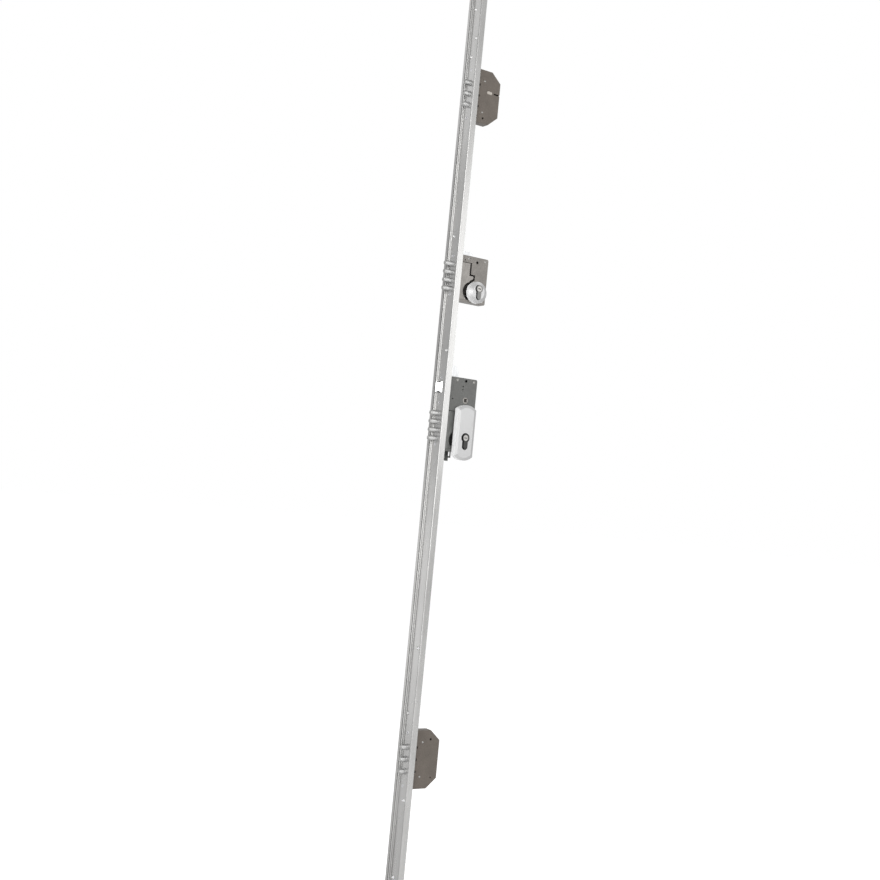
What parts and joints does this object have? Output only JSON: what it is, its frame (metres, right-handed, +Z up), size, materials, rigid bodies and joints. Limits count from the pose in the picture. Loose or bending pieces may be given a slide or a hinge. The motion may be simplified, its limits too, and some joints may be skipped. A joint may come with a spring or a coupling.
{
  "type": "multipoint mortise lock",
  "caption": "Long folded forend with a main lock case, a second cylinder case and two outer deadlock cases, round bolts, a bevelled latch, key trim and connecting rods.",
  "frame": {"origin": "on the front face of the forend, in the plane of the bolts' axes, level with the main cylinder", "axes": "+X into the door from the front face, so the bolts leave along -X; +Z up along the forend; -Y towards the keyed side with the escutcheon"},
  "size_m": [0.113, 0.0565, 2.1],
  "materials": {
    "galvanised": "galvanised sheet",
    "case_steel": "zinc plated pressed steel",
    "bolt_steel": "turned nickel plated steel",
    "bright_nickel": "satin nickel",
    "satin_chrome": "satin chrome",
    "screw_steel": "zinc plated steel",
    "rod_steel": "zinc plated strip",
    "plate_steel": "zinc plated plate",
    "brass": "nickel plated brass",
    "spring_steel": "bright wire"
  },
  "bodies": {
    "forend": {"forend_profile": "galvanised", "bolt_collars": "bolt_steel", "case_fixing_screws": "screw_steel", "main_case_tray": "case_steel", "main_case_cover": "case_steel", "second_case_tray": "case_steel", "second_case_cover": "case_steel", "upper_case_tray": "case_steel", "upper_case_cover": "case_steel", "lower_case_tray": "case_steel", "lower_case_cover": "case_steel", "upper_guide_block": "bright_nickel", "lower_guide_block": "bright_nickel", "upper_rod_clips": "galvanised", "lower_rod_clips": "galvanised", "second_rod_keeper": "rod_steel", "main_cylinder_body": "satin_chrome", "second_cylinder_body": "satin_chrome", "main_escutcheon": "satin_chrome", "second_rosette": "satin_chrome", "latch_spring": "spring_steel", "main_cylinder_screw": "screw_steel", "second_cylinder_screw": "screw_steel", "main_cover_rivets": "screw_steel", "second_cover_rivets": "screw_steel", "upper_cover_rivets": "screw_steel", "lower_cover_rivets": "screw_steel", "escutcheon_screws": "screw_steel", "rosette_screws": "screw_steel"},
    "main_carriage": {"main_bolt_carriage": "plate_steel", "main_bolts": "bolt_steel", "main_upper_pin": "bolt_steel", "main_lower_pin": "bolt_steel"},
    "second_carriage": {"second_bolt_carriage": "plate_steel", "second_bolts": "bolt_steel"},
    "upper_carriage": {"upper_bolt_carriage": "plate_steel", "upper_bolts": "bolt_steel", "upper_carriage_pin": "bolt_steel"},
    "lower_carriage": {"lower_bolt_carriage": "plate_steel", "lower_bolts": "bolt_steel", "lower_carriage_pin": "bolt_steel"},
    "upper_rod": {"upper_drive_plate": "rod_steel", "upper_rod_bar": "rod_steel", "upper_rod_links": "rod_steel", "upper_cam_plate": "rod_steel"},
    "lower_rod": {"lower_drive_plate": "rod_steel", "lower_rod_bar": "rod_steel", "lower_rod_links": "rod_steel", "lower_cam_plate": "rod_steel"},
    "main_key_drive": {"main_cylinder_plugs": "brass", "main_cylinder_cam": "plate_steel"},
    "second_key_drive": {"second_cylinder_plugs": "brass", "second_cylinder_cam": "plate_steel"},
    "follower": {"handle_follower": "plate_steel"},
    "latch": {"latch_bolt": "bright_nickel"}
  },
  "joints": [
    {"name": "main_bolts_slide", "type": "slide", "parent": "forend", "child": "main_carriage", "axis": [-1, 0, 0], "range_m": [-0.021, 0.015]},
    {"name": "main_key_turn", "type": "hinge", "parent": "forend", "child": "main_key_drive", "pos_m": [0.063, 0, 0], "axis": [0, 1, 0], "range_deg": [-420, 300]},
    {"name": "upper_rod_lift", "type": "slide", "parent": "forend", "child": "upper_rod", "axis": [0, 0, 1], "range_m": [-0.021, 0.015]},
    {"name": "lower_rod_drop", "type": "slide", "parent": "forend", "child": "lower_rod", "axis": [0, 0, -1], "range_m": [-0.021, 0.015]},
    {"name": "upper_bolts_slide", "type": "slide", "parent": "forend", "child": "upper_carriage", "axis": [-1, 0, 0], "range_m": [-0.014, 0.01]},
    {"name": "lower_bolts_slide", "type": "slide", "parent": "forend", "child": "lower_carriage", "axis": [-1, 0, 0], "range_m": [-0.014, 0.01]},
    {"name": "second_bolts_slide", "type": "slide", "parent": "forend", "child": "second_carriage", "axis": [-1, 0, 0], "range_m": [-0.021, 0.015]},
    {"name": "second_key_turn", "type": "hinge", "parent": "forend", "child": "second_key_drive", "pos_m": [0.063, 0, 0.3415], "axis": [0, 1, 0], "range_deg": [-420, 300]},
    {"name": "handle_turn", "type": "hinge", "parent": "forend", "child": "follower", "pos_m": [0.063, 0, 0.085], "axis": [0, 1, 0], "range_deg": [0, 35], "stiffness_Nm_per_rad": 0.8, "springref_deg": -17.19},
    {"name": "latch_slide", "type": "slide", "parent": "forend", "child": "latch", "axis": [1, 0, 0], "range_m": [0, 0.0102], "stiffness_N_per_m": 300, "springref_m": -0.01, "deforming": ["latch_spring"]}
  ],
  "couplings": [
    {"joint": "main_key_turn", "follows": "main_bolts_slide", "rad_per_m": 349},
    {"joint": "upper_rod_lift", "follows": "main_bolts_slide", "ratio": 1},
    {"joint": "lower_rod_drop", "follows": "main_bolts_slide", "ratio": 1},
    {"joint": "upper_bolts_slide", "follows": "main_bolts_slide", "ratio": 0.66666},
    {"joint": "lower_bolts_slide", "follows": "main_bolts_slide", "ratio": 0.66666},
    {"joint": "second_key_turn", "follows": "second_bolts_slide", "rad_per_m": 349},
    {"joint": "handle_turn", "follows": "latch_slide", "rad_per_m": 59.88}
  ]
}
